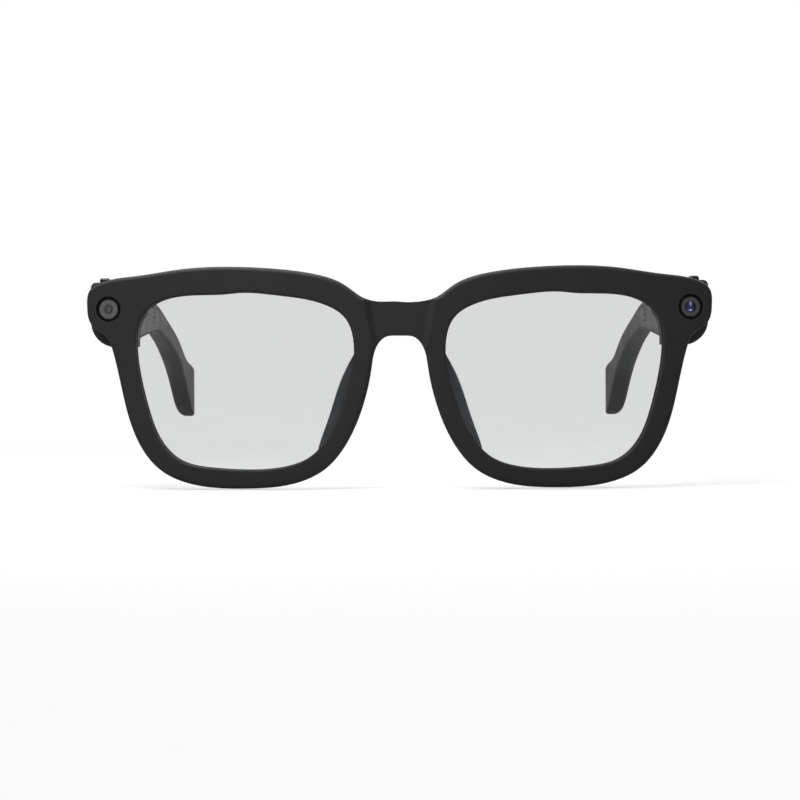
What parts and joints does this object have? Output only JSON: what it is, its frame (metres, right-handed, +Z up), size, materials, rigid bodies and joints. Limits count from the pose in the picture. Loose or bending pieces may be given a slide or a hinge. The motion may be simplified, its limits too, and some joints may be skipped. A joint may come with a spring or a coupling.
{
  "type": "smart glasses",
  "caption": "Matte black smart glasses with thick square-round full rims, grey-tinted lenses, round camera and indicator windows, and folding temples that hold electronics.",
  "frame": {"origin": "on the ground plane under the middle of the bounding box with both temples open: x on the mid-plane of the nose bridge, z = 0 at the lowest point of the rims", "axes": "+Z up, +Y back along the open temples so that the front faces -Y, +X to the wearer's left"},
  "size_m": [0.1502, 0.1455, 0.0529],
  "materials": {
    "frame_plastic": "fine matte black",
    "pad_plastic": "satin black",
    "tinted_lens": "light grey tint, coated",
    "window_glass": "dark coated glass",
    "black_anodised": "black anodised",
    "button_plastic": "satin black",
    "hinge_steel": "blackened steel",
    "screw_steel": "machined",
    "circuit_board": "solder mask",
    "light_guide": "clear moulded",
    "flexible_circuit": "polyimide film",
    "battery_foil": "foil pouch",
    "speaker_body": "moulded",
    "speaker_mesh": "woven mesh",
    "gold_contact": "gold plated"
  },
  "bodies": {
    "front": {"bridge_microphone": "circuit_board", "brow_cover": "frame_plastic", "camera_barrel": "black_anodised", "camera_bezel": "black_anodised", "camera_module": "circuit_board", "camera_window": "window_glass", "end_cover_left": "frame_plastic", "end_cover_right": "frame_plastic", "front_flex": "flexible_circuit", "front_frame": "frame_plastic", "front_leaf_screws": "screw_steel", "hinge_front_leaf_left": "hinge_steel", "hinge_front_leaf_right": "hinge_steel", "hinge_screw_left": "screw_steel", "hinge_screw_right": "screw_steel", "lens_left": "tinted_lens", "lens_right": "tinted_lens", "light_bezel": "black_anodised", "light_board": "circuit_board", "light_pipe": "light_guide", "light_window": "window_glass", "nose_pad_left": "pad_plastic", "nose_pad_right": "pad_plastic"},
    "temple_left": {"battery_left": "battery_foil", "button_switch_left": "circuit_board", "hinge_temple_leaf_left": "hinge_steel", "speaker_left": "speaker_body", "speaker_mesh_left": "speaker_mesh", "temple_core_left": "hinge_steel", "temple_flex_left": "flexible_circuit", "temple_leaf_screws_left": "screw_steel", "temple_liner_left": "frame_plastic", "temple_microphone_left": "circuit_board", "temple_shell_left": "frame_plastic"},
    "temple_right": {"button_switch_right": "circuit_board", "charging_contacts_right": "gold_contact", "hinge_temple_leaf_right": "hinge_steel", "main_board_right": "circuit_board", "speaker_mesh_right": "speaker_mesh", "speaker_right": "speaker_body", "temple_core_right": "hinge_steel", "temple_flex_right": "flexible_circuit", "temple_leaf_screws_right": "screw_steel", "temple_liner_right": "frame_plastic", "temple_microphone_right": "circuit_board", "temple_shell_right": "frame_plastic", "touch_sensor_right": "flexible_circuit"},
    "power_button": {"power_button": "button_plastic"},
    "capture_button": {"capture_button": "button_plastic"}
  },
  "joints": [
    {"name": "left_temple_fold", "type": "hinge", "parent": "front", "child": "temple_left", "pos_m": [0.0648, -0.0558, 0.0417], "axis": [0, 0, 1], "range_deg": [0, 90]},
    {"name": "right_temple_fold", "type": "hinge", "parent": "front", "child": "temple_right", "pos_m": [-0.0648, -0.0558, 0.0417], "axis": [0, 0, -1], "range_deg": [0, 82]},
    {"name": "power_button_press", "type": "slide", "parent": "temple_left", "child": "power_button", "axis": [0, 0, -1], "range_m": [0, 0.00035]},
    {"name": "capture_button_press", "type": "slide", "parent": "temple_right", "child": "capture_button", "axis": [0, 0, -1], "range_m": [0, 0.00035]}
  ]
}
